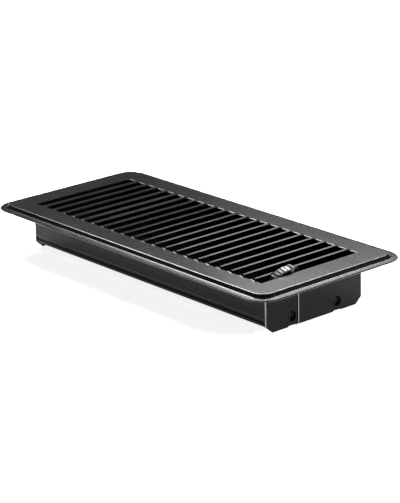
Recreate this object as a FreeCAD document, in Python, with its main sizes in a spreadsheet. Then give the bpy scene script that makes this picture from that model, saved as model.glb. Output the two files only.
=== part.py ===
# Floor register of painted sheet steel: a stamped face with leaning strips, a folded damper box below it,
# and two coupled damper blades that a thumb quadrant turns. Millimetres, +Z up, origin at the centre of the
# face at floor level: the flange's underside lies at Z = 0 and the box hangs into the duct opening.
import FreeCAD, Part
import math
import os
import Sketcher

from FreeCAD import Vector

doc = FreeCAD.newDocument("floor_register")
sheet = doc.addObject("Spreadsheet::Sheet", "sizes")

# Driving dimensions, in millimetres and degrees
SIZES = {
    # Face stamping
    "end_overhang": 21.05,
    "side_overhang": 22.4,
    "face_corner_radius": 15.5,
    "face_gauge": 0.9,
    "field_height": 3.2,
    "flange_width": 4.9,
    "flange_land": 1.8,
    "flange_pitch": 0.45,
    "riser_run": 1.9,
    "crest_radius": 1.1,
    "flange_edge_radius": 0.55,
    # Grille
    "slot_pitch": 11.22,
    "grille_end_margin": 2.0,
    "strip_width": 4.25,
    "first_lean": 3.0,
    "last_lean": 24.0,
    "twist_length": 3.2,
    # Damper box
    "box_length": 250.0,
    "box_width": 88.4,
    "box_gauge": 0.8,
    "box_corner_radius": 1.0,
    "end_wall_depth": 31.5,
    "long_wall_depth": 26.5,
    "corner_chamfer_run": 5.8,
    "hem_height": 2.3,
    "hem_groove": 0.8,
    "hem_round": 0.25,
    "hem_tuck": 0.4,
    "joggle_height": 3.0,
    "joggle_foot": 1.1,
    "seam_distance": 29.2,
    "seam_gap": 0.5,
    "seam_slope": 0.8,
    "seam_lap": 7.0,
    "weld_flange_width": 8.0,
    # Blade pivots in the end walls
    "blade_axis_depth": 24.6,
    "cup_radius": 4.0,
    "cup_depth": 2.4,
    "cup_knee_radius": 3.5,
    "cup_knee_depth": 1.7,
    "cup_floor_radius": 2.7,
    "cup_flank": 0.4,
    "notch_width": 9.0,
    "notch_height": 0.6,
    "pivot_pin_radius": 1.5,
    "pivot_pin_overhang": 0.6,
    "running_clearance": 0.08,
    # Damper blades
    "blade_gauge": 0.8,
    "blade_edge_gap": 0.45,
    "blade_overlap": 1.9,
    "blade_end_gap": 1.0,
    "lap_width": 3.6,
    "lap_drop": 1.5,
    "blade_travel": 75.0,
    "crank_radius": 5.0,
    "crank_pin_radius": 1.0,
    "ear_width": 6.0,
    "pin_seat_gap": 0.05,
    "pin_hold_length": 12.0,
    # Tie bar
    "tie_gauge": 0.8,
    "tie_width": 4.6,
    "tie_side_gap": 0.4,
    "drive_pin_overhang": 0.6,
    # Thumb lever
    "lever_axis_depth": 13.3,
    "lever_slot_inset": 1.6,
    "lever_tie_gap": 5.2,
    "lever_gauge": 0.8,
    "lever_hub_radius": 4.4,
    "rim_radius": 22.7,
    "rim_centre_side": 2.7,
    "rim_centre_drop": 2.4,
    "rim_width": 4.5,
    "rim_gauge": 1.2,
    "rim_slope": 1.1,
    "rim_near_angle": 36.0,
    "rim_far_angle": 8.0,
    "pad_angle": 6.0,
    "pad_drop": 0.5,
    "bump_angle": 5.0,
    "bump_rise": 0.7,
    "tail_angle": 18.0,
    "tail_width": 2.0,
    "spoke_width": 2.2,
    "rib_radius": 0.7,
    "rib_count": 6,
    "fork_depth": 8.6,
    "fork_wall": 1.4,
    "fork_clearance": 0.35,
    # Lever rivet and washer
    "rivet_radius": 1.5,
    "rivet_head_radius": 3.0,
    "rivet_head_height": 0.8,
    "rivet_shoulder_radius": 2.5,
    "rivet_bore_radius": 0.95,
    "rivet_bore_depth": 4.0,
    "washer_thickness": 0.6,
    "washer_radius": 3.4,
    "side_play": 0.06,
}
for row, (alias, value) in enumerate(SIZES.items(), start=1):
    sheet.set(f"A{row}", alias)
    sheet.set(f"B{row}", str(value))
    sheet.setAlias(f"B{row}", alias)

# Sizes that follow from the driving ones
DERIVED = {
    "box_half_length": "box_length / 2",
    "box_half_width": "box_width / 2",
    "half_length": "box_half_length + end_overhang",
    "half_width": "box_half_width + side_overhang",
    "field_underside": "field_height - face_gauge",
    "inner_half_length": "box_half_length - box_gauge",
    "joggle_face": "box_half_width - box_gauge",
    "slot_width": "slot_pitch - strip_width",
    "slot_count": "floor((2 * (inner_half_length - grille_end_margin) + strip_width) / slot_pitch)",
    "grille_length": "slot_count * slot_pitch - strip_width",
    "blade_axis_y": "(joggle_face - box_gauge - blade_edge_gap - blade_overlap / 2) / 2",
    "blade_half_width": "blade_axis_y + blade_overlap / 2",
    "lever_face": "grille_length / 2 - lever_slot_inset",
    "lever_back": "lever_face - lever_gauge",
    "rim_start": "lever_face - rim_width",
    "blade_start": "-inner_half_length + cup_depth + blade_end_gap",
    "blade_finish": "lever_back - lever_tie_gap - tie_gauge - tie_side_gap",
    "crank_lead": "blade_travel / 2",
    "crank_side": "crank_radius * sin(crank_lead * 1deg)",
    "crank_rise": "crank_radius * cos(crank_lead * 1deg)",
    "axis_drop": "blade_axis_depth - lever_axis_depth",
    "fork_lead": "atan(crank_side / (axis_drop - crank_rise)) / 1deg",
    "tie_start": "blade_finish + tie_side_gap",
    "seam_y": "seam_distance - box_half_width",
    "hem_crease": "hem_height - long_wall_depth",
    "joggle_top": "hem_crease + joggle_height",
}
for row, (alias, formula) in enumerate(DERIVED.items(), start=len(SIZES) + 1):
    sheet.set(f"A{row}", alias)
    sheet.set(f"B{row}", "=" + formula)
    sheet.setAlias(f"B{row}", alias)
doc.recompute()


def size(alias):
    """The current value of one cell of the sheet."""
    return float(sheet.get(alias))


def bound(text):
    """A formula in the sheet's words, written so that an object of the document can follow it."""
    parts = []
    word = ""
    for letter in text + " ":
        if letter.isalnum() or letter == "_":
            word += letter
            continue
        parts.append(f"<<sizes>>.{word}" if word in SIZES or word in DERIVED else word)
        parts.append(letter)
        word = ""
    return "".join(parts).strip()


def value_of(text):
    """What a formula in the sheet's words comes to now."""
    result = sheet.evalExpression(bound(text))
    return float(getattr(result, "Value", result))


def new_body(name):
    """An empty body whose label names its file."""
    body = doc.addObject("PartDesign::Body", name)
    body.Label = name
    return body


def new_sketch(body, name, role, lift="0"):
    """A sketch on one of the body's own planes, raised along the plane's normal."""
    sketch = body.newObject("Sketcher::SketchObject", name)
    plane = [feature for feature in body.Origin.OriginFeatures if feature.Role == role][0]
    sketch.AttachmentSupport = [(plane, "")]
    sketch.MapMode = "FlatFace"
    sketch.setExpression("AttachmentOffset.Base.z", bound(lift))
    return sketch


def tie(sketch, kind, *places, to):
    """A named dimension that follows a formula."""
    index = sketch.addConstraint(Sketcher.Constraint(kind, *places, value_of(to)))
    name = f"size_{index}"
    sketch.renameConstraint(index, name)
    sketch.setExpression(f"Constraints.{name}", bound(to))


def add_outline(sketch, corners):
    """A closed outline of straight lines; each corner is a pair of formulas."""
    points = [Vector(value_of(x), value_of(y), 0) for x, y in corners]
    first = sketch.GeometryCount
    count = len(points)
    for index in range(count):
        sketch.addGeometry(Part.LineSegment(points[index], points[(index + 1) % count]), False)
    for index in range(count):
        following = first + (index + 1) % count
        sketch.addConstraint(Sketcher.Constraint("Coincident", first + index, 2, following, 1))
    for index, (x, y) in enumerate(corners):
        tie(sketch, "DistanceX", -1, 1, first + index, 1, to=x)
        tie(sketch, "DistanceY", -1, 1, first + index, 1, to=y)


def add_circle(sketch, x, y, radius):
    """A circle whose centre and radius are formulas."""
    place = Vector(value_of(x), value_of(y), 0)
    index = sketch.addGeometry(Part.Circle(place, Vector(0, 0, 1), value_of(radius)), False)
    tie(sketch, "DistanceX", -1, 1, index, 3, to=x)
    tie(sketch, "DistanceY", -1, 1, index, 3, to=y)
    tie(sketch, "Radius", index, to=radius)


def add_rounded_rectangle(sketch, half_x, half_y, radius):
    """A rectangle about the origin with four equal corner arcs."""
    hx, hy, r = value_of(half_x), value_of(half_y), value_of(radius)
    first = sketch.GeometryCount
    quarters = [(1, 1), (-1, 1), (-1, -1), (1, -1)]
    for turn, (sx, sy) in enumerate(quarters):
        centre = Vector(sx * (hx - r), sy * (hy - r), 0)
        start = math.radians(90 * turn)
        arc = Part.ArcOfCircle(Part.Circle(centre, Vector(0, 0, 1), r), start, start + math.pi / 2)
        sketch.addGeometry(arc, False)
    for turn in range(4):
        begin = sketch.getPoint(first + turn, 2)
        end = sketch.getPoint(first + (turn + 1) % 4, 1)
        sketch.addGeometry(Part.LineSegment(begin, end), False)
    for turn, (sx, sy) in enumerate(quarters):
        arc, line, following = first + turn, first + 4 + turn, first + (turn + 1) % 4
        sketch.addConstraint(Sketcher.Constraint("Tangent", arc, 2, line, 1))
        sketch.addConstraint(Sketcher.Constraint("Tangent", line, 2, following, 1))
        sketch.addConstraint(Sketcher.Constraint("Horizontal" if turn % 2 == 0 else "Vertical", line))
        if turn:
            sketch.addConstraint(Sketcher.Constraint("Equal", first, arc))
    tie(sketch, "Radius", first, to=radius)
    tie(sketch, "DistanceX", -1, 1, first, 3, to=f"({half_x}) - ({radius})")
    tie(sketch, "DistanceY", -1, 1, first, 3, to=f"({half_y}) - ({radius})")
    tie(sketch, "DistanceX", -1, 1, first + 2, 3, to=f"({radius}) - ({half_x})")
    tie(sketch, "DistanceY", -1, 1, first + 2, 3, to=f"({radius}) - ({half_y})")


def add_pad(body, name, sketch, length, both=False, backwards=False):
    """Sheet of a given thickness, or a section drawn out to a length."""
    pad = body.newObject("PartDesign::Pad", name)
    pad.Profile = sketch
    pad.setExpression("Length", bound(length))
    pad.Midplane = both
    pad.Reversed = backwards
    doc.recompute()
    return pad


def add_pocket(body, name, sketch, through=True, length="1", backwards=False):
    """A cut that removes metal; it is checked to remove some."""
    before = body.Shape.Volume
    pocket = body.newObject("PartDesign::Pocket", name)
    pocket.Profile = sketch
    pocket.Type = "ThroughAll" if through else "Length"
    pocket.Midplane = through
    pocket.Reversed = backwards
    if not through:
        pocket.setExpression("Length", bound(length))
    doc.recompute()
    if body.Shape.Volume >= before:
        raise RuntimeError(f"{name} cuts nothing")
    return pocket


def add_fillet(body, name, base, radius, chosen):
    """A rounding of the base's edges that a test picks out."""
    names = [f"Edge{index}" for index, edge in enumerate(base.Shape.Edges, start=1) if chosen(edge)]
    fillet = body.newObject("PartDesign::Fillet", name)
    fillet.Base = (base, names)
    fillet.setExpression("Radius", bound(radius))
    doc.recompute()
    return fillet


def level(edge, height):
    """Whether an edge lies wholly at one height."""
    box = edge.BoundBox
    return abs(box.ZMin - height) < 0.01 and abs(box.ZMax - height) < 0.01


# Face stamping: the rim's section swept round the outline, with the flat field inside it
def make_face_blank():
    body = new_body("face_blank")
    path = new_sketch(body, "face_outline", "XY_Plane")
    add_rounded_rectangle(path, "half_length", "half_width", "face_corner_radius")
    section = new_sketch(body, "rim_section", "XZ_Plane")
    foot = "half_length - flange_width"
    crest = "half_length - flange_width - riser_run"
    add_outline(section, [
        ("half_length", "0"),
        ("half_length", "face_gauge"),
        ("half_length - flange_land", "face_gauge"),
        (foot, "face_gauge + flange_pitch"),
        (crest, "field_height"),
        (f"{crest} - 2 * face_gauge", "field_height"),
        (f"{crest} - 2 * face_gauge", "field_underside"),
        (f"{crest} - face_gauge / 2", "field_underside"),
        (f"{foot} - face_gauge / 2", "flange_pitch"),
        ("half_length - flange_land", "0"),
    ])
    doc.recompute()
    rim = body.newObject("PartDesign::AdditivePipe", "rim")
    rim.Profile = section
    rim.Spine = (path, [])
    rim.Mode = "Standard"
    doc.recompute()
    inset = "(flange_width + riser_run + face_gauge)"
    field = new_sketch(body, "field_outline", "XY_Plane", "field_underside")
    add_rounded_rectangle(field, f"half_length - {inset}", f"half_width - {inset}",
                          f"face_corner_radius - {inset}")
    add_pad(body, "field", field, "face_gauge")
    opening = new_sketch(body, "grille_opening", "XY_Plane")
    add_outline(opening, [
        ("-grille_length / 2", "-box_half_width"),
        ("grille_length / 2", "-box_half_width"),
        ("grille_length / 2", "box_half_width"),
        ("-grille_length / 2", "box_half_width"),
    ])
    cut = add_pocket(body, "grille_cut", opening)
    top = size("field_height")
    reach = size("half_length") - size("flange_width") - size("riser_run")
    wide = size("half_width") - size("flange_width") - size("riser_run")

    def on_crest(edge):
        middle = edge.valueAt((edge.FirstParameter + edge.LastParameter) / 2)
        beside_riser = max(abs(middle.x) - reach, abs(middle.y) - wide) > -size("flange_width")
        return level(edge, top) and beside_riser

    crest_round = add_fillet(body, "crest_round", cut, "crest_radius", on_crest)

    def on_outer_edge(edge):
        middle = edge.valueAt((edge.FirstParameter + edge.LastParameter) / 2)
        outermost = max(abs(middle.x) - size("half_length"), abs(middle.y) - size("half_width")) > -0.01
        corner = math.hypot(abs(middle.x) - size("half_length") + size("face_corner_radius"),
                            abs(middle.y) - size("half_width") + size("face_corner_radius"))
        at_corner = edge.Curve.TypeId == "Part::GeomCircle" and corner > size("face_corner_radius") - 0.01
        return level(edge, size("face_gauge")) and (outermost or at_corner)

    add_fillet(body, "edge_round", crest_round, "flange_edge_radius", on_outer_edge)
    return body


# Grille strips: each one is twisted out of the field at both ends and leans further than the one before
TWIST_STEPS = 3


def strip_section(lean, y):
    """Corners of a strip's section; it turns about its upper edge on the side away from the lever."""
    width, gauge, top = size("strip_width"), size("face_gauge"), size("field_height")
    along = Vector(math.cos(lean), 0, math.sin(lean))
    down = Vector(math.sin(lean), 0, -math.cos(lean)) * gauge
    start = Vector(0, y, top)
    return [start, start + along * width, start + along * width + down, start + down]


def flat_faces(corners):
    """One face where the corners lie in a plane, and otherwise the two triangles of a twisted quad."""
    a, b, c, d = corners
    if abs((b - a).cross(c - a).dot(d - a)) < 1e-6:
        return [Part.Face(Part.makePolygon([a, b, c, d, a]))]
    return [Part.Face(Part.makePolygon(list(points))) for points in ((a, b, c, a), (a, c, d, a))]


def make_strip(lean):
    """A strip of sheet between the grille's two long borders."""
    border = size("box_half_width")
    stations = [(-border - size("face_gauge"), 0.0)]
    for step in range(TWIST_STEPS + 1):
        part = step / TWIST_STEPS
        stations.append((size("twist_length") * part - border, lean * part * part * (3 - 2 * part)))
    stations += [(-y, turn) for y, turn in reversed(stations)]
    sections = [strip_section(turn, y) for y, turn in stations]
    faces = flat_faces(sections[0]) + flat_faces(sections[-1])
    for one, other in zip(sections, sections[1:]):
        for side in range(4):
            after = (side + 1) % 4
            faces += flat_faces([one[side], one[after], other[after], other[side]])
    shell = Part.makeShell(faces)
    shell.sewShape()
    return Part.makeSolid(shell)


def make_strips():
    count = int(size("slot_count")) - 1
    strips = []
    for index in range(count):
        share = index / (count - 1)
        eased = 1 - (1 - share) ** 2
        lean = size("first_lean") + (size("last_lean") - size("first_lean")) * eased
        left = size("slot_width") - size("grille_length") / 2 + index * size("slot_pitch")
        strip = doc.addObject("Part::Feature", f"grille_strip_{index + 1}")
        strip.Shape = make_strip(math.radians(lean))
        strip.Placement = FreeCAD.Placement(Vector(left, 0, 0), FreeCAD.Rotation())
        strips.append(strip)
    return strips


def make_faceplate():
    plate = doc.addObject("Part::MultiFuse", "faceplate")
    plate.Shapes = [make_face_blank()] + make_strips()
    plate.Refine = False
    plate.Label = "faceplate"
    return plate


# Damper box: one strip of sheet folded round four corners. Its ends meet in a flush seam on the end wall at
# the lever: one end is stepped in behind the other
def make_damper_box():
    body = new_body("damper_box")
    ring = new_sketch(body, "wall_ring", "XY_Plane", "field_underside")
    add_rounded_rectangle(ring, "box_half_length", "box_half_width", "box_corner_radius")
    add_rounded_rectangle(ring, "inner_half_length", "joggle_face", "box_corner_radius - box_gauge")
    add_pad(body, "walls", ring, "end_wall_depth + field_underside", backwards=True)
    groove = new_sketch(body, "seam_groove_plan", "XY_Plane", "field_underside")
    add_outline(groove, [
        ("inner_half_length", "seam_y - seam_gap"),
        ("box_half_length + box_gauge", "seam_y - seam_gap - 2 * seam_slope"),
        ("box_half_length + box_gauge", "seam_y"),
        ("inner_half_length", "seam_y"),
    ])
    add_pocket(body, "seam_groove", groove)
    tongue = new_sketch(body, "seam_tongue_plan", "XY_Plane", "field_underside")
    add_outline(tongue, [
        ("inner_half_length", "seam_y - seam_gap - seam_slope"),
        ("inner_half_length", "seam_y + seam_lap"),
        ("inner_half_length - box_gauge", "seam_y + seam_lap"),
        ("inner_half_length - box_gauge", "seam_y - seam_gap"),
    ])
    add_pad(body, "seam_tongue", tongue, "end_wall_depth + field_underside", backwards=True)
    # Long walls stop short of the end walls' depth
    side = new_sketch(body, "long_wall_cut", "XZ_Plane")
    wall_end = "(box_half_length - box_corner_radius)"
    add_outline(side, [
        (f"-{wall_end}", "joggle_top"),
        (f"-{wall_end}", "-2 * end_wall_depth"),
        (wall_end, "-2 * end_wall_depth"),
        (wall_end, "joggle_top"),
    ])
    add_pocket(body, "long_wall_trim", side)
    # Lower border of each long wall: stepped in by one gauge and hemmed outwards, flush with the wall
    for name, sign in (("near", "-"), ("far", "")):
        hem_end = f"({wall_end} + hem_tuck)"
        hem = new_sketch(body, f"{name}_hem_section", "YZ_Plane", f"-{hem_end}")
        corners = [
            ("box_half_width", "joggle_top"),
            ("joggle_face", "hem_crease + joggle_foot"),
            ("joggle_face", "hem_crease - hem_groove"),
            ("box_half_width - hem_round", "hem_crease"),
            ("box_half_width", "hem_crease - hem_round"),
            ("box_half_width", "hem_round - long_wall_depth"),
            ("box_half_width - hem_round", "-long_wall_depth"),
            ("joggle_face - box_gauge + hem_round", "-long_wall_depth"),
            ("joggle_face - box_gauge", "hem_round - long_wall_depth"),
            ("joggle_face - box_gauge", "hem_crease + joggle_foot"),
            ("joggle_face", "joggle_top"),
        ]
        if sign:
            corners = [(f"-({y})", z) for y, z in corners]
        add_outline(hem, corners)
        add_pad(body, f"{name}_hem", hem, f"2 * {hem_end}")
    # Lower corners of the end walls and the shallow notch under each pivot
    edge = new_sketch(body, "end_wall_edge", "YZ_Plane")
    corner_rise = "(end_wall_depth - long_wall_depth) * box_gauge / corner_chamfer_run"
    for sign in ("", "-"):
        add_outline(edge, [
            (f"{sign}(box_half_width - corner_chamfer_run)", "-end_wall_depth"),
            (f"{sign}(box_half_width + box_gauge)", f"-long_wall_depth + {corner_rise}"),
            (f"{sign}(box_half_width + box_gauge)", "-2 * end_wall_depth"),
            (f"{sign}(box_half_width - corner_chamfer_run)", "-2 * end_wall_depth"),
        ])
        add_outline(edge, [
            (f"{sign}blade_axis_y - notch_width / 2", "-end_wall_depth - box_gauge"),
            (f"{sign}blade_axis_y - notch_width / 3", "notch_height - end_wall_depth"),
            (f"{sign}blade_axis_y + notch_width / 3", "notch_height - end_wall_depth"),
            (f"{sign}blade_axis_y + notch_width / 2", "-end_wall_depth - box_gauge"),
        ])
    add_pocket(body, "end_wall_edge_cut", edge)
    # Round holes for the cupped pivot seats and the lever rivet
    holes = new_sketch(body, "pivot_holes", "YZ_Plane")
    for sign in ("", "-"):
        add_circle(holes, f"{sign}blade_axis_y", "-blade_axis_depth", "cup_radius - cup_flank / 2")
    add_pocket(body, "pivot_cut", holes)
    rivet_hole = new_sketch(body, "rivet_hole", "YZ_Plane", "inner_half_length - box_gauge")
    add_circle(rivet_hole, "-blade_axis_y", "-lever_axis_depth", "rivet_radius")
    add_pocket(body, "rivet_cut", rivet_hole, through=False, length="3 * box_gauge", backwards=True)
    # Cupped seats: shallow dishes pressed inwards, each with a bearing hole for a blade's pin
    for end, x_sign in (("lever_end", ""), ("plain_end", "-")):
        for row, y_sign in (("near", "-"), ("far", "")):
            dish = new_sketch(body, f"{end}_{row}_cup", "XZ_Plane", f"-({y_sign}blade_axis_y)")
            bearing = "(pivot_pin_radius + running_clearance)"
            corners = [
                ("box_half_length", "cup_radius"),
                ("inner_half_length", "cup_radius"),
                ("inner_half_length - cup_knee_depth", "cup_knee_radius"),
                ("inner_half_length - cup_depth", "cup_floor_radius"),
                ("inner_half_length - cup_depth", bearing),
                ("inner_half_length - cup_depth + box_gauge", bearing),
                ("inner_half_length - cup_depth + box_gauge", "cup_floor_radius - cup_flank"),
                ("inner_half_length - cup_knee_depth + box_gauge", "cup_knee_radius - cup_flank"),
                ("box_half_length", "cup_radius - cup_flank"),
            ]
            add_outline(dish, [(f"{x_sign}({x})", f"-blade_axis_depth + {radius}") for x, radius in corners])
            drop = value_of("-blade_axis_depth")
            spindle = Part.LineSegment(Vector(0, drop, 0), Vector(size("cup_depth"), drop, 0))
            axis_line = dish.addGeometry(spindle, True)
            dish.addConstraint(Sketcher.Constraint("Horizontal", axis_line))
            tie(dish, "DistanceY", -1, 1, axis_line, 1, to="-blade_axis_depth")
            doc.recompute()
            cup = body.newObject("PartDesign::Revolution", f"{end}_{row}_seat")
            cup.Profile = dish
            cup.ReferenceAxis = (dish, ["Axis0"])
            cup.Angle = 360
            doc.recompute()
    # Weld flanges turned outwards under the field
    for name, sign in (("near", "-"), ("far", "")):
        plan = new_sketch(body, f"{name}_flange_plan", "XY_Plane", "field_underside")
        add_outline(plan, [
            ("-box_half_length + weld_flange_width", f"{sign}joggle_face"),
            ("box_half_length - weld_flange_width", f"{sign}joggle_face"),
            ("box_half_length - 1.5 * weld_flange_width", f"{sign}(box_half_width + weld_flange_width)"),
            ("-box_half_length + 1.5 * weld_flange_width", f"{sign}(box_half_width + weld_flange_width)"),
        ])
        add_pad(body, f"{name}_flange", plan, "box_gauge", backwards=True)
    for name, sign in (("plain_end", "-"), ("lever_end", "")):
        plan = new_sketch(body, f"{name}_flange_plan", "XY_Plane", "field_underside")
        add_outline(plan, [
            (f"{sign}inner_half_length", "-box_half_width + weld_flange_width"),
            (f"{sign}inner_half_length", "box_half_width - weld_flange_width"),
            (f"{sign}(box_half_length + weld_flange_width)", "box_half_width - 1.5 * weld_flange_width"),
            (f"{sign}(box_half_length + weld_flange_width)", "-box_half_width + 1.5 * weld_flange_width"),
        ])
        add_pad(body, f"{name}_flange", plan, "box_gauge", backwards=True)
    return body


# Damper blade: a flat sheet with a half-round rib over its pivot pins, a stepped lap along one edge and an
# ear bent up at the lever end that carries the crank pin
def make_blade(name, axis_y):
    body = new_body(name)
    section = new_sketch(body, f"{name}_section", "YZ_Plane", "blade_start")
    mid = "-blade_axis_depth"
    half = "blade_gauge / 2"
    seat = "(pivot_pin_radius + pin_seat_gap)"
    rib = f"({seat} + blade_gauge)"
    add_outline(section, [
        (f"{axis_y} - blade_half_width", f"{mid} - lap_drop - {half}"),
        (f"{axis_y} - blade_half_width + lap_width", f"{mid} - lap_drop - {half}"),
        (f"{axis_y} - blade_half_width + lap_width + lap_drop", f"{mid} - {half}"),
        (f"{axis_y} + blade_half_width", f"{mid} - {half}"),
        (f"{axis_y} + blade_half_width", f"{mid} + {half}"),
        (f"{axis_y} - blade_half_width + lap_width + lap_drop - blade_gauge / 2", f"{mid} + {half}"),
        (f"{axis_y} - blade_half_width + lap_width - blade_gauge / 2", f"{mid} - lap_drop + {half}"),
        (f"{axis_y} - blade_half_width", f"{mid} - lap_drop + {half}"),
    ])
    add_pad(body, f"{name}_sheet", section, "blade_finish - blade_start")
    rib_section = new_sketch(body, f"{name}_rib_section", "YZ_Plane", "blade_start")
    add_circle(rib_section, axis_y, mid, rib)
    add_pad(body, f"{name}_rib", rib_section, "blade_finish - blade_start")
    under = new_sketch(body, f"{name}_rib_under", "YZ_Plane")
    add_outline(under, [
        (f"{axis_y} - {rib} - {half}", f"{mid} - {half}"),
        (f"{axis_y} + {rib} + {half}", f"{mid} - {half}"),
        (f"{axis_y} + {rib} + {half}", f"{mid} - {rib} - {half}"),
        (f"{axis_y} - {rib} - {half}", f"{mid} - {rib} - {half}"),
    ])
    add_pocket(body, f"{name}_rib_trim", under)
    ear = new_sketch(body, f"{name}_ear_outline", "YZ_Plane", "blade_finish")
    add_outline(ear, [
        (f"{axis_y} - ear_width / 2", f"{mid} - {half}"),
        (f"{axis_y} + crank_side + ear_width / 2", f"{mid} - {half}"),
        (f"{axis_y} + crank_side + ear_width / 2", f"{mid} + crank_rise + ear_width / 4"),
        (f"{axis_y} + crank_side + ear_width / 4", f"{mid} + crank_rise + ear_width / 2"),
        (f"{axis_y} + crank_side - ear_width / 3", f"{mid} + crank_rise + ear_width / 2"),
        (f"{axis_y} - ear_width / 2", f"{mid} + crank_rise / 2"),
    ])
    add_pad(body, f"{name}_ear", ear, "blade_gauge", backwards=True)
    bore = new_sketch(body, f"{name}_pin_bore", "YZ_Plane")
    add_circle(bore, axis_y, mid, seat)
    add_pocket(body, f"{name}_pin_groove", bore)
    crank_hole = new_sketch(body, f"{name}_crank_hole", "YZ_Plane")
    add_circle(crank_hole, f"{axis_y} + crank_side", f"{mid} + crank_rise", "crank_pin_radius")
    add_pocket(body, f"{name}_crank_bore", crank_hole)
    return body


def place(item, x="0", y="0", z="0", turned=False):
    """Position of a primitive; turned lays its own axis along X."""
    if turned:
        item.Placement = FreeCAD.Placement(Vector(), FreeCAD.Rotation(Vector(0, 1, 0), 90))
    for axis, text in zip("xyz", (x, y, z)):
        item.setExpression(f"Placement.Base.{axis}", bound(text))


def rod(name, radius, length, x, y, z):
    """A cylinder along X that starts at x."""
    item = doc.addObject("Part::Cylinder", name)
    item.setExpression("Radius", bound(radius))
    item.setExpression("Height", bound(length))
    place(item, x, y, z, turned=True)
    return item


def bar(name, length, width, height, x, y, z):
    """A rectangular bar with one corner at x, y, z."""
    item = doc.addObject("Part::Box", name)
    item.setExpression("Length", bound(length))
    item.setExpression("Width", bound(width))
    item.setExpression("Height", bound(height))
    place(item, x, y, z)
    return item


def join(name, items):
    item = doc.addObject("Part::MultiFuse", name)
    item.Shapes = items
    item.Label = name
    return item


def remove(name, base, tool):
    item = doc.addObject("Part::Cut", name)
    item.Base = base
    item.Tool = tool
    item.Label = name
    return item


# Pivot pins of one blade, one at each end, held under the rib
def make_pivot_pins(name, axis_y):
    drop = "-blade_axis_depth"
    outer = "(inner_half_length - cup_depth + box_gauge + pivot_pin_overhang)"
    plain = rod(f"{name}_plain", "pivot_pin_radius", f"{outer} + blade_start + pin_hold_length",
                f"-{outer}", axis_y, drop)
    lever = rod(f"{name}_lever", "pivot_pin_radius", f"{outer} - blade_finish + pin_hold_length",
                "blade_finish - pin_hold_length", axis_y, drop)
    pins = doc.addObject("Part::Compound", name)
    pins.Links = [plain, lever]
    pins.Label = name
    return pins


# Crank pins, set in the ears
def make_crank_pin(name, axis_y, finish):
    pin = rod(name, "crank_pin_radius", f"{finish} - blade_finish + blade_gauge", "blade_finish - blade_gauge",
              f"{axis_y} + crank_side", "-blade_axis_depth + crank_rise")
    pin.Label = name
    return pin


# Tie bar between the two crank pins
def make_tie_bar():
    height = "-blade_axis_depth + crank_rise"
    strap = bar("tie_strap", "tie_gauge", "2 * blade_axis_y", "tie_width", "tie_start",
                "crank_side - blade_axis_y", f"{height} - tie_width / 2")
    ends = [rod(f"tie_end_{name}", "tie_width / 2", "tie_gauge", "tie_start", f"{axis} + crank_side", height)
            for name, axis in (("near", "-blade_axis_y"), ("far", "blade_axis_y"))]
    blank = join("tie_blank", [strap] + ends)
    near_hole = rod("tie_near_hole", "crank_pin_radius + running_clearance", "3 * tie_gauge",
                    "tie_start - tie_gauge", "crank_side - blade_axis_y", height)
    far_hole = rod("tie_far_hole", "crank_pin_radius + 2 * running_clearance", "3 * tie_gauge",
                   "tie_start - tie_gauge", "crank_side + blade_axis_y", height)
    return remove("tie_bar", blank, join("tie_holes", [near_hole, far_hole]))


# Thumb lever: a quadrant plate with a hub, two spokes, a fork for the drive pin and a rim turned over for
# the thumb. The rim's arc has its own centre beside the pivot
def rim_point(angle, radius):
    """A place on the rim, its angle taken from straight up towards the far side."""
    turn = math.radians(angle)
    y = size("rim_centre_side") - size("blade_axis_y") + radius * math.sin(turn)
    z = -size("rim_centre_drop") - size("lever_axis_depth") + radius * math.cos(turn)
    return y, z


def rim_band(start, finish, radius, width):
    """A stretch of the rim between two angles; it slopes down towards the lever's face."""
    left, gauge = size("rim_start"), size("rim_gauge")
    low = radius - size("rim_slope") * width / size("rim_width")
    section = [Vector(x, *rim_point(start, r)) for x, r in
               ((left, radius), (left + width, low), (left + width, low - gauge), (left, radius - gauge))]
    sheet_end = Part.Face(Part.makePolygon(section + section[:1]))
    return sheet_end.revolve(Vector(left, *rim_point(0, 0)), Vector(-1, 0, 0), finish - start)


def rim_rib(angle):
    """A rib across the rim, half sunk in it."""
    inset, deep = size("rib_radius") / 2, size("rim_radius") - size("rib_radius") / 2
    start = Vector(size("rim_start") + inset, *rim_point(angle, deep))
    finish = Vector(size("lever_face") - inset, *rim_point(angle, deep - size("rim_slope")))
    return Part.makeCylinder(size("rib_radius"), (finish - start).Length, start, finish - start)


def lever_arm(angle, reach, half_width, start=0.0):
    """A straight arm of the plate along one angle from the pivot."""
    turn = math.radians(angle)
    along = Vector(0, math.sin(turn), math.cos(turn))
    across = Vector(0, math.cos(turn), -math.sin(turn)) * half_width
    pivot = Vector(size("lever_back"), -size("blade_axis_y"), -size("lever_axis_depth"))
    inner, outer = pivot + along * start, pivot + along * reach
    corners = [inner - across, inner + across, outer + across, outer - across]
    return Part.Face(Part.makePolygon(corners + corners[:1])).extrude(Vector(size("lever_gauge"), 0, 0))


def lever_spoke(angle, radius):
    """An arm from the pivot to the middle of the rim's thickness."""
    y, z = rim_point(angle, radius - size("rim_slope") - size("rim_gauge") / 2)
    side, rise = y + size("blade_axis_y"), z + size("lever_axis_depth")
    return lever_arm(math.degrees(math.atan2(side, rise)), math.hypot(side, rise), size("spoke_width") / 2)


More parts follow.
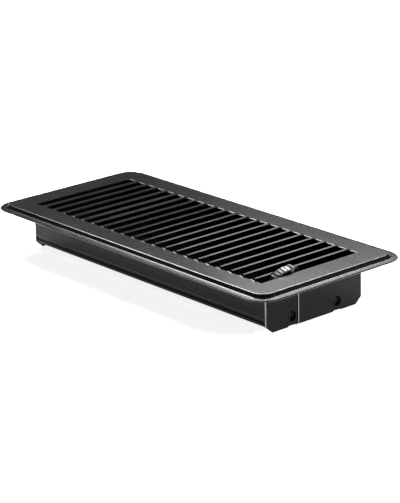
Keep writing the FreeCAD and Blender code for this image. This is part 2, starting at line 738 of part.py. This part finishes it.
def make_lever():
    back, gauge = size("lever_back"), size("lever_gauge")
    outer, full = size("rim_radius"), size("rim_width")
    near, far = -size("rim_near_angle"), size("rim_far_angle")
    pad_end, bump_end = near - size("pad_angle"), far + size("bump_angle")
    tail_end = bump_end + size("tail_angle")
    pad_radius = outer - size("pad_drop")
    along_x = Vector(1, 0, 0)
    pivot = Vector(back, -size("blade_axis_y"), -size("lever_axis_depth"))
    hub = Part.makeCylinder(size("lever_hub_radius"), gauge, pivot, along_x)
    rim = [
        rim_band(pad_end, near, pad_radius, full),
        rim_band(near, far, outer, full),
        rim_band(far, bump_end, outer + size("bump_rise"), full),
        rim_band(bump_end, tail_end, outer, size("tail_width")),
    ]
    rib_pitch = (far - near) / size("rib_count")
    ribs = [rim_rib(near + (index + 0.5) * rib_pitch) for index in range(int(size("rib_count")))]
    spokes = [lever_spoke((pad_end + near) / 2, pad_radius), lever_spoke((far + bump_end) / 2, outer)]
    pin_room = size("crank_pin_radius") + size("fork_clearance")
    fork_angle = 180 - size("fork_lead")
    fork = lever_arm(fork_angle, size("fork_depth"), pin_room + size("fork_wall"))
    lever = hub.fuse(rim + ribs + spokes + [fork])
    slot_start = size("axis_drop") - size("crank_radius") - pin_room
    slot = lever_arm(fork_angle, 2 * size("fork_depth"), pin_room, slot_start)
    bore_radius = size("rivet_radius") + size("running_clearance")
    bore = Part.makeCylinder(bore_radius, 3 * gauge, pivot - along_x * gauge, along_x)
    feature = doc.addObject("Part::Feature", "lever")
    feature.Shape = lever.cut([slot, bore])
    feature.Label = "lever"
    feature.Placement = FreeCAD.Placement()
    return feature


# Lever rivet: formed head inside, shoulder that spaces the lever off the wall, hollow end outside
def make_lever_rivet():
    y, z = "-blade_axis_y", "-lever_axis_depth"
    head_start = "(lever_back - washer_thickness - 2 * side_play - rivet_head_height)"
    head = rod("rivet_head", "rivet_head_radius", "rivet_head_height", head_start, y, z)
    shoulder = rod("rivet_shoulder", "rivet_shoulder_radius", "inner_half_length - lever_face - side_play",
                   "lever_face + side_play", y, z)
    shank = rod("rivet_shank", "rivet_radius", f"box_half_length - {head_start}", head_start, y, z)
    bore = rod("rivet_bore", "rivet_bore_radius", "rivet_bore_depth + box_gauge",
               "box_half_length - rivet_bore_depth", y, z)
    return remove("lever_rivet", join("rivet_solid", [head, shoulder, shank]), bore)


def make_lever_washer():
    y, z = "-blade_axis_y", "-lever_axis_depth"
    start = "(lever_back - washer_thickness - side_play)"
    disc = rod("washer_disc", "washer_radius", "washer_thickness", start, y, z)
    hole = rod("washer_hole", "rivet_radius + running_clearance", "3 * washer_thickness",
               f"{start} - washer_thickness", y, z)
    return remove("lever_washer", disc, hole)


nodes = [
    make_faceplate(),
    make_damper_box(),
    make_blade("near_blade", "-blade_axis_y"),
    make_blade("far_blade", "blade_axis_y"),
    make_pivot_pins("near_blade_pins", "-blade_axis_y"),
    make_pivot_pins("far_blade_pins", "blade_axis_y"),
    make_crank_pin("drive_pin", "-blade_axis_y", "(lever_face + drive_pin_overhang)"),
    make_crank_pin("tie_pin", "blade_axis_y", "(tie_start + 2 * tie_gauge)"),
    make_tie_bar(),
    make_lever(),
    make_lever_rivet(),
    make_lever_washer(),
]
doc.recompute()

for item in doc.Objects:
    if "Invalid" in item.State or "Error" in item.State:
        raise RuntimeError(f"{item.Label} did not build: {item.State}")
os.makedirs("parts", exist_ok=True)
for node in nodes:
    if node.Shape.isNull() or not node.Shape.isValid():
        raise RuntimeError(f"{node.Label} has no valid shape")
    node.Shape.exportStep(f"parts/{node.Label}.step")
    box = node.Shape.BoundBox
    print(f"{node.Label}: {len(node.Shape.Solids)} solids, {node.Shape.Volume:.0f} mm3, "
          f"x {box.XMin:.1f} to {box.XMax:.1f}, y {box.YMin:.1f} to {box.YMax:.1f}, "
          f"z {box.ZMin:.1f} to {box.ZMax:.1f}")
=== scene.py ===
"""Looks of the floor register: camera, studio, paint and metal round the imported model's frame."""

import math

import bmesh
import bpy
from mathutils import Matrix, Vector


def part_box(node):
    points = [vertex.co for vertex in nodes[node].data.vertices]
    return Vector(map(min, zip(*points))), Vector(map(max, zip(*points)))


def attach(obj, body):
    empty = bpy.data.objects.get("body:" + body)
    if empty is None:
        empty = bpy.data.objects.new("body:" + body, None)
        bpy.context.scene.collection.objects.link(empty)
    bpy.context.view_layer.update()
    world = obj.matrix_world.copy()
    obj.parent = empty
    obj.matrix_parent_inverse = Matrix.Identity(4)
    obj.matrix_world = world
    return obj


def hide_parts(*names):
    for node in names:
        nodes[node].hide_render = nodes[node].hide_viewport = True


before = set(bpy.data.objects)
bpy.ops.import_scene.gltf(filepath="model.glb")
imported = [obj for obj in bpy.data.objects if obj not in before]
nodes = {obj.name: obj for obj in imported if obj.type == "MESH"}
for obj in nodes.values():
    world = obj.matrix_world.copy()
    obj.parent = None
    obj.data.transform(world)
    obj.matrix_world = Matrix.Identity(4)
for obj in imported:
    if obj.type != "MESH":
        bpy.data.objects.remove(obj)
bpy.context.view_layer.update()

MM = 0.001

# The photograph's viewpoint, worked out from the straight edges of the register: the camera's direction in degrees,
# from +X towards -Y and up from the floor, its place in metres, and its focal length in pixels of the photograph
CAMERA_AZIMUTH, CAMERA_ELEVATION, CAMERA_ROLL = 40.5736, 18.8082, -1.4069
CAMERA_PLACE = (1.0524, -0.8930, 0.4550)
FOCAL_LENGTH = 2067.97
PHOTO_WIDTH = 400
SENSOR_WIDTH = 36.0

# Studio: how much the paper glows where it is seen, the world's strength, and half the floor's side in metres
PAPER_GLOW = 0.86
WORLD_LEVEL = 0.05
FLOOR_REACH = 6.0

# Soft lamps: name, direction from +X towards +Y and height in degrees, distance, width and height in metres, radiance
LAMPS = [
    ("crest", 146.0, 46.5, 0.80, 0.86, 0.20, 30.0),
    ("field", 124.0, 27.0, 0.80, 0.34, 0.10, 3.0),
    ("rear_right", 42.0, 20.0, 1.4, 0.7, 0.4, 13.0),
    ("front_low", -41.0, 6.0, 1.2, 0.25, 0.08, 20.0),
]

# Gloss of the enamel on the face and on the duller box, and the box's painted highlights along its fold and seam,
# drawn as light steel where the bends catch the light: place along X and Y, and reach
FACE_GLOSS = 0.36
BOX_GLOSS = 0.135
FOLD_HIGHLIGHT_LINE = (124.85 * MM, -44.05 * MM, 0.7 * MM)
SEAM_HIGHLIGHT_LINE = (125.0 * MM, -14.6 * MM, 0.6 * MM)

# Face: one sheet with its flange, riser, crest and field, pierced by the slots, with the strips twisted out of it
FACE_HALF = (146.05 * MM, 66.6 * MM)
FACE_CORNER = 15.5 * MM
FACE_GAUGE = 0.8 * MM
FIELD_TOP = 3.2 * MM
CORNER_STEPS = 14
# Section of the rim: inset from the outline, height of the sheet's top and radius of the bend there, all in mm
RIM_SECTION = [(0.0, 0.4, 0.0), (0.6, 0.9, 0.2), (4.8, 0.9, 0.15), (6.8, 3.2, 1.4), (8.6, 3.2, 0.0)]
BEND_STEPS = 5
# Edges that turn further than this, in degrees, are cut edges and don't shade smoothly
CUT_EDGE_TURN = 50.0

# Grille: its half size, the slots' pitch, and the strips between the slots, which lean more and more along X
GRILLE_HALF = (121.295 * MM, 44.2 * MM)
SLOT_PITCH = 11.22 * MM
STRIP_COUNT = 21
STRIP_WIDTH = 4.25 * MM
STRIP_COLUMNS = 4
STRIP_SPANS = 6
FIRST_LEAN, LAST_LEAN = 3.0, 24.0
NEAR_TWIST_LENGTH = 1.2 * MM
FAR_TWIST_LENGTH = 3.2 * MM
TWIST_STEPS = 4

# Lip turned down at each end of a slot: its radius, its turn in degrees, and how far each side of it draws in by
# the time it hangs straight down, as a share of the radius
LIP_RADIUS = 1.0 * MM
LIP_TURN = 80.0
LIP_TAPER = 0.4
LIP_STEPS = 4


class Nodes:
    """A material and a short way to write its node tree."""

    def __init__(self, name):
        self.material = bpy.data.materials.new(name)
        self.material.use_nodes = True
        self.tree = self.material.node_tree
        self.tree.nodes.clear()
        self.position = self.add("ShaderNodeTexCoord").outputs["Object"]

    def add(self, kind, **settings):
        node = self.tree.nodes.new(kind)
        for key, value in settings.items():
            setattr(node, key, value)
        return node

    def link(self, source, target):
        self.tree.links.new(source, target)

    def noise(self, scale, detail=3.0, roughness=0.5):
        node = self.add("ShaderNodeTexNoise")
        node.inputs["Scale"].default_value = scale
        node.inputs["Detail"].default_value = detail
        node.inputs["Roughness"].default_value = roughness
        self.link(self.position, node.inputs["Vector"])
        return node.outputs["Fac"]

    def spread(self, value, low, high, start=0.3, end=0.7):
        """The value's range from start to end, spread from low to high."""
        node = self.add("ShaderNodeMapRange")
        node.inputs["From Min"].default_value = start
        node.inputs["From Max"].default_value = end
        node.inputs["To Min"].default_value = low
        node.inputs["To Max"].default_value = high
        self.link(value, node.inputs["Value"])
        return node.outputs["Result"]

    def combine(self, operation, *values):
        """Two sockets, or a socket and a number, put together by one operation."""
        node = self.add("ShaderNodeMath", operation=operation)
        for socket, value in zip(node.inputs, values):
            if isinstance(value, float):
                socket.default_value = value
            else:
                self.link(value, socket)
        return node.outputs["Value"]

    def tint(self, factor, dark, light):
        """A colour between dark and light, each a colour or a socket."""
        node = self.add("ShaderNodeMix", data_type="RGBA")
        self.link(factor, node.inputs["Factor"])
        for socket, colour in ((node.inputs["A"], dark), (node.inputs["B"], light)):
            if isinstance(colour, tuple):
                socket.default_value = (*colour, 1.0)
            else:
                self.link(colour, socket)
        return node.outputs["Result"]

    def rounded_edges(self, radius):
        """Normals that round off the sheet's cut edges and folds."""
        node = self.add("ShaderNodeBevel", samples=6)
        node.inputs["Radius"].default_value = radius
        return node.outputs["Normal"]

    def painted_highlight_line(self, x, y, reach):
        """Mask of a painted highlight: 1 on the upright line through x, y, fading to 0 at reach from it."""
        flat = self.add("ShaderNodeVectorMath", operation="MULTIPLY")
        self.link(self.position, flat.inputs[0])
        flat.inputs[1].default_value = (1.0, 1.0, 0.0)
        away = self.add("ShaderNodeVectorMath", operation="DISTANCE")
        self.link(flat.outputs["Vector"], away.inputs[0])
        away.inputs[1].default_value = (x, y, 0.0)
        return self.spread(away.outputs["Value"], low=1.0, high=0.0, start=reach * 0.5, end=reach)

    def bump(self, height, strength, distance, normal=None):
        node = self.add("ShaderNodeBump")
        node.inputs["Strength"].default_value = strength
        node.inputs["Distance"].default_value = distance
        self.link(height, node.inputs["Height"])
        if normal is not None:
            self.link(normal, node.inputs["Normal"])
        return node.outputs["Normal"]

    def finish(self, surface):
        out = self.add("ShaderNodeOutputMaterial")
        self.link(surface, out.inputs["Surface"])
        return self.material


def black_enamel(name, gloss, wear_and_highlight=(), soften=True):
    """Baked satin enamel: faint orange peel and grit, a slightly cloudy gloss, and painted highlights drawn as light
    metallic steel along the given lines.

    With soften, the shading rounds off the mesh's sharp edges.
    """
    n = Nodes(name)
    cloud = n.noise(scale=45.0, detail=4.0, roughness=0.55)
    peel = n.noise(scale=900.0, detail=2.0)
    grit = n.noise(scale=2600.0, detail=2.0, roughness=0.6)
    shader = n.add("ShaderNodeBsdfPrincipled")
    colour = n.tint(n.spread(cloud, 0.0, 1.0), (0.005, 0.005, 0.0053), (0.008, 0.008, 0.0084))
    # Painted highlight: light metallic steel along each given line stands in for the light caught by the box's fold
    # and seam
    if wear_and_highlight:
        painted_highlight_mask, *others = [n.painted_highlight_line(*line) for line in wear_and_highlight]
        for other in others:
            painted_highlight_mask = n.combine("MAXIMUM", painted_highlight_mask, other)
        patches = n.noise(scale=700.0, roughness=0.6)
        painted_highlight_mask = n.combine("MULTIPLY", painted_highlight_mask, n.spread(patches, 0.75, 1.0))
        colour = n.tint(painted_highlight_mask, colour, (0.32, 0.32, 0.32))
        n.link(painted_highlight_mask, shader.inputs["Metallic"])
    n.link(colour, shader.inputs["Base Color"])
    n.link(n.spread(cloud, 0.225, 0.245), shader.inputs["Roughness"])
    shader.inputs["Specular IOR Level"].default_value = gloss
    edges = n.rounded_edges(0.3 * MM) if soften else None
    normal = n.bump(peel, strength=0.008, distance=0.03 * MM, normal=edges)
    normal = n.bump(grit, strength=0.04, distance=0.01 * MM, normal=normal)
    n.link(normal, shader.inputs["Normal"])
    return n.finish(shader.outputs["BSDF"])


def matt_black():
    """Dull black of the damper blades, darker than the enamel and without gloss: their own black paint, darkened
    further as painted shade for the box's dark inside.
    """
    n = Nodes("matt_black")
    cloud = n.noise(scale=80.0, detail=4.0, roughness=0.6)
    grain = n.noise(scale=1500.0, detail=2.0)
    shader = n.add("ShaderNodeBsdfPrincipled")
    # Painted shade: a black darker than the enamel's keeps the blades as dark as the shade inside the box
    n.link(n.tint(n.spread(cloud, 0.0, 1.0), (0.002,) * 3, (0.0035,) * 3), shader.inputs["Base Color"])
    n.link(n.spread(cloud, 0.55, 0.7), shader.inputs["Roughness"])
    shader.inputs["Specular IOR Level"].default_value = 0.0
    n.link(n.bump(grain, strength=0.3, distance=0.03 * MM), shader.inputs["Normal"])
    return n.finish(shader.outputs["BSDF"])


def dark_metal(name, dark, light):
    """Cloudy dark metal with a fine grain, for oiled steel and for enamel that thumbs have worn thin."""
    n = Nodes(name)
    cloud = n.noise(scale=260.0, detail=4.0, roughness=0.6)
    grain = n.noise(scale=3200.0, detail=2.0)
    shader = n.add("ShaderNodeBsdfPrincipled")
    colour = n.tint(n.spread(cloud, 0.0, 1.0), (dark, dark, dark * 1.04), (light, light, light * 1.02))
    n.link(colour, shader.inputs["Base Color"])
    shader.inputs["Metallic"].default_value = 1.0
    n.link(n.spread(cloud, 0.28, 0.42), shader.inputs["Roughness"])
    n.link(n.bump(grain, strength=0.3, distance=0.02 * MM), shader.inputs["Normal"])
    return n.finish(shader.outputs["BSDF"])


def white_paper():
    """Seamless white paper: seen directly or in a reflection it glows a little, and it keeps the shadow."""
    n = Nodes("white_paper")
    fibre = n.noise(scale=300.0)
    shader = n.add("ShaderNodeBsdfDiffuse")
    n.link(n.tint(n.spread(fibre, 0.0, 1.0), (0.88,) * 3, (0.90,) * 3), shader.inputs["Color"])
    rays = n.add("ShaderNodeLightPath").outputs
    seen = n.combine("MAXIMUM", rays["Is Camera Ray"], rays["Is Glossy Ray"])
    seen = n.combine("MAXIMUM", seen, rays["Is Transmission Ray"])
    glow = n.add("ShaderNodeEmission")
    n.link(n.combine("MULTIPLY", seen, PAPER_GLOW), glow.inputs["Strength"])
    both = n.add("ShaderNodeAddShader")
    n.link(shader.outputs["BSDF"], both.inputs[0])
    n.link(glow.outputs["Emission"], both.inputs[1])
    return n.finish(both.outputs["Shader"])


def make_camera():
    """The photograph's camera."""
    azimuth, elevation, roll = map(math.radians, (CAMERA_AZIMUTH, CAMERA_ELEVATION, CAMERA_ROLL))
    away = Vector((math.cos(elevation) * math.cos(azimuth),
                   -math.cos(elevation) * math.sin(azimuth),
                   math.sin(elevation)))
    level_right = Vector((math.sin(azimuth), math.cos(azimuth), 0.0))
    level_up = Vector((-math.sin(elevation) * math.cos(azimuth),
                       math.sin(elevation) * math.sin(azimuth),
                       math.cos(elevation)))
    right = math.cos(roll) * level_right + math.sin(roll) * level_up
    up = -math.sin(roll) * level_right + math.cos(roll) * level_up
    data = bpy.data.cameras.new("camera")
    data.sensor_fit = "HORIZONTAL"
    data.sensor_width = SENSOR_WIDTH
    data.lens = SENSOR_WIDTH * FOCAL_LENGTH / PHOTO_WIDTH
    data.clip_start = 0.05
    data.clip_end = 50.0
    camera = bpy.data.objects.new("camera", data)
    bpy.context.scene.collection.objects.link(camera)
    place = Matrix((right, up, away)).transposed().to_4x4()
    place.translation = Vector(CAMERA_PLACE)
    camera.matrix_world = place
    bpy.context.scene.camera = camera


def make_floor(height):
    mesh = bpy.data.meshes.new("floor")
    mesh.from_pydata([(-FLOOR_REACH, -FLOOR_REACH, height), (FLOOR_REACH, -FLOOR_REACH, height),
                      (FLOOR_REACH, FLOOR_REACH, height), (-FLOOR_REACH, FLOOR_REACH, height)],
                     [], [(0, 1, 2, 3)])
    floor = bpy.data.objects.new("floor", mesh)
    bpy.context.scene.collection.objects.link(floor)
    mesh.materials.append(white_paper())


def make_world():
    world = bpy.data.worlds.new("studio")
    world.use_nodes = True
    tree = world.node_tree
    tree.nodes.clear()
    out = tree.nodes.new("ShaderNodeOutputWorld")
    soft = tree.nodes.new("ShaderNodeBackground")
    soft.inputs["Color"].default_value = (1.0, 1.0, 1.0, 1.0)
    soft.inputs["Strength"].default_value = WORLD_LEVEL
    tree.links.new(soft.outputs["Background"], out.inputs["Surface"])
    bpy.context.scene.world = world


def add_softbox(name, azimuth, elevation, away, width, height, level):
    """A soft lamp that faces the register; level is its radiance."""
    turn, rise = math.radians(azimuth), math.radians(elevation)
    place = Vector((math.cos(rise) * math.cos(turn), math.cos(rise) * math.sin(turn), math.sin(rise))) * away
    data = bpy.data.lights.new(name, "AREA")
    data.shape = "RECTANGLE"
    data.size = width
    data.size_y = height
    data.energy = level * math.pi * width * height
    lamp = bpy.data.objects.new(name, data)
    lamp.location = place
    lamp.rotation_euler = (-place).to_track_quat("-Z", "Y").to_euler()
    bpy.context.scene.collection.objects.link(lamp)


def dress_nodes(enamel):
    """Gives each CAD node its finish, which is the enamel where no other is named."""
    # The box's enamel carries painted highlights along its fold and seam
    box_enamel = black_enamel("box_enamel", BOX_GLOSS, [FOLD_HIGHLIGHT_LINE, SEAM_HIGHLIGHT_LINE])
    steel = dark_metal("dark_steel", 0.10, 0.19)
    wear_and_highlight = dark_metal("rubbed_enamel", 0.08, 0.17)
    dull = matt_black()
    looks = {"damper_box": box_enamel, "lever": wear_and_highlight, "near_blade": dull, "far_blade": dull,
             "near_blade_pins": box_enamel, "far_blade_pins": box_enamel,
             "drive_pin": steel, "tie_pin": steel, "lever_washer": steel}
    for name, node in nodes.items():
        look = looks.get(name, enamel)
        for place in range(len(node.data.materials)):
            node.data.materials[place] = look
        if not node.data.materials:
            node.data.materials.append(look)


def rounded_section(corners):
    """The section's points, in metres, with each bend drawn as an arc."""
    points = [Vector(corners[0][:2])]
    for before, here, after in zip(corners, corners[1:], corners[2:]):
        here_at, radius = Vector(here[:2]), here[2]
        back = (Vector(before[:2]) - here_at).normalized()
        ahead = (Vector(after[:2]) - here_at).normalized()
        turn = math.pi - back.angle(ahead)
        reach = radius * math.tan(turn / 2)
        centre = here_at + (back + ahead).normalized() * radius / math.cos(turn / 2)
        first = here_at + back * reach - centre
        last = here_at + ahead * reach - centre
        for step in range(BEND_STEPS + 1):
            share = step / BEND_STEPS
            spoke = first * math.sin((1 - share) * turn) + last * math.sin(share * turn)
            points.append(centre + spoke / math.sin(turn))
    points.append(Vector(corners[-1][:2]))
    return [point * MM for point in points]


def outline_stations():
    """Places round the face's outline, each with the way inwards: counter-clockwise from the near right corner."""
    stations = []
    half_x, half_y = FACE_HALF
    for turn, (side_x, side_y) in enumerate(((1, -1), (1, 1), (-1, 1), (-1, -1))):
        centre = Vector((side_x * (half_x - FACE_CORNER), side_y * (half_y - FACE_CORNER)))
        for step in range(CORNER_STEPS + 1):
            angle = math.radians(90 * (turn - 1 + step / CORNER_STEPS))
            outwards = Vector((math.cos(angle), math.sin(angle)))
            stations.append((centre + outwards * FACE_CORNER, -outwards))
    return stations


def add_rim(sheet):
    """The rim's rings of points, joined by faces from the outline inwards; returns the inmost ring."""
    stations = outline_stations()
    rings = []
    for inset, height in rounded_section(RIM_SECTION):
        rings.append([sheet.verts.new((place + inwards * inset).to_3d() + Vector((0, 0, height)))
                      for place, inwards in stations])
    for outer, inner in zip(rings, rings[1:]):
        for here in range(len(stations)):
            after = (here + 1) % len(stations)
            sheet.faces.new((outer[here], outer[after], inner[after], inner[here]))
    return rings[-1]


def strip_lean(index):
    """A strip's lean from level, which grows fast at first and then slowly."""
    share = index / (STRIP_COUNT - 1)
    return math.radians(FIRST_LEAN + (LAST_LEAN - FIRST_LEAN) * (1 - (1 - share) ** 2))


def strip_rows():
    """Places along Y of the rows of points across a strip, each with its share of the strip's lean."""
    shares = [step / TWIST_STEPS for step in range(TWIST_STEPS + 1)]
    near = [NEAR_TWIST_LENGTH * share - GRILLE_HALF[1] for share in shares]
    far = [GRILLE_HALF[1] - FAR_TWIST_LENGTH * share for share in reversed(shares)]
    span = (far[0] - near[-1]) / STRIP_SPANS
    middle = [near[-1] + span * step for step in range(1, STRIP_SPANS)]
    eased = [share * share * (3 - 2 * share) for share in shares]
    return list(zip(near + middle + far, eased + [1.0] * len(middle) + eased[::-1]))


def add_strip(sheet, left, lean, rows):
    """One strip, hinged at its left edge and twisted back into the sheet at both ends; returns its rows of points."""
    grid = []
    for y, share in rows:
        line = []
        for column in range(STRIP_COLUMNS + 1):
            across = STRIP_WIDTH * column / STRIP_COLUMNS
            line.append(sheet.verts.new((left + across * math.cos(lean * share), y,
                                         FIELD_TOP + across * math.sin(lean * share))))
        grid.append(line)
    for line, following in zip(grid, grid[1:]):
        for column in range(STRIP_COLUMNS):
            sheet.faces.new((line[column], line[column + 1], following[column + 1], following[column]))
    return grid


def add_lip(sheet, start, end, side):
    """The field's edge turned down at one end of a slot, from start to end along X; side is +1 at the far border."""
    last = (start, end)
    for step in range(1, LIP_STEPS + 1):
        angle = math.radians(LIP_TURN) * step / LIP_STEPS
        along = Vector((LIP_TAPER * LIP_RADIUS * (1 - math.cos(angle)), 0, 0))
        drop = Vector((0, -side * LIP_RADIUS * math.sin(angle), -LIP_RADIUS * (1 - math.cos(angle))))
        row = (sheet.verts.new(start.co + drop + along), sheet.verts.new(end.co + drop - along))
        corners = (row[0], row[1], last[1], last[0])
        sheet.faces.new(corners if side > 0 else corners[::-1])
        last = row


def add_grille(sheet):
    """The strips and the slots' lips; returns the points along the grille's near and far borders."""
    rows = strip_rows()
    near = [sheet.verts.new((-GRILLE_HALF[0], -GRILLE_HALF[1], FIELD_TOP))]
    far = [sheet.verts.new((-GRILLE_HALF[0], GRILLE_HALF[1], FIELD_TOP))]
    for index in range(STRIP_COUNT):
        left = (index + 1) * SLOT_PITCH - STRIP_WIDTH - GRILLE_HALF[0]
        grid = add_strip(sheet, left, strip_lean(index), rows)
        add_lip(sheet, near[-1], grid[0][0], -1)
        add_lip(sheet, far[-1], grid[-1][0], 1)
        near += grid[0]
        far += grid[-1]
    near.append(sheet.verts.new((GRILLE_HALF[0], -GRILLE_HALF[1], FIELD_TOP)))
    far.append(sheet.verts.new((GRILLE_HALF[0], GRILLE_HALF[1], FIELD_TOP)))
    add_lip(sheet, near[-2], near[-1], -1)
    add_lip(sheet, far[-2], far[-1], 1)
    return near, far


def add_field(sheet, ring, near, far):
    """The flat field between the rim's inmost ring and the grille, in four pieces that meet at the corners."""
    near_right, far_right, far_left, near_left = (
        turn * (CORNER_STEPS + 1) + CORNER_STEPS // 2 for turn in range(4))

    def run(first, last):
        return ring[first:last + 1] if first <= last else ring[first:] + ring[:last + 1]

    sheet.faces.new(run(near_left, near_right) + near[::-1])
    sheet.faces.new(run(near_right, far_right) + [far[-1], near[-1]])
    sheet.faces.new(run(far_right, far_left) + far)
    sheet.faces.new(run(far_left, near_left) + [near[0], far[0]])


def make_face(material):
    """The whole face as one smooth sheet, which stands for the faceplate."""
    sheet = bmesh.new()
    ring = add_rim(sheet)
    near, far = add_grille(sheet)
    add_field(sheet, ring, near, far)
    sheet.normal_update()
    mesh = bpy.data.meshes.new("face_sheet")
    sheet.to_mesh(mesh)
    sheet.free()
    face = bpy.data.objects.new("face_sheet", mesh)
    bpy.context.scene.collection.objects.link(face)
    mesh.materials.append(material)
    # Bends, twists and lips are made of quads and shade smoothly; the field's four many-sided pieces stay flat
    for polygon in mesh.polygons:
        polygon.use_smooth = len(polygon.vertices) == 4
    gauge = face.modifiers.new("gauge", "SOLIDIFY")
    gauge.thickness = FACE_GAUGE
    gauge.offset = -1.0
    gauge.use_even_offset = True
    cut_edges = face.modifiers.new("cut_edges", "EDGE_SPLIT")
    cut_edges.split_angle = math.radians(CUT_EDGE_TURN)
    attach(face, "housing")
    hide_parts("faceplate")


make_camera()
dress_nodes(black_enamel("black_enamel", FACE_GLOSS))
make_face(black_enamel("face_enamel", FACE_GLOSS, soften=False))
make_floor(min(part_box(name)[0].z for name in nodes))
make_world()
for lamp in LAMPS:
    add_softbox(*lamp)
bpy.context.scene.view_settings.view_transform = "Standard"
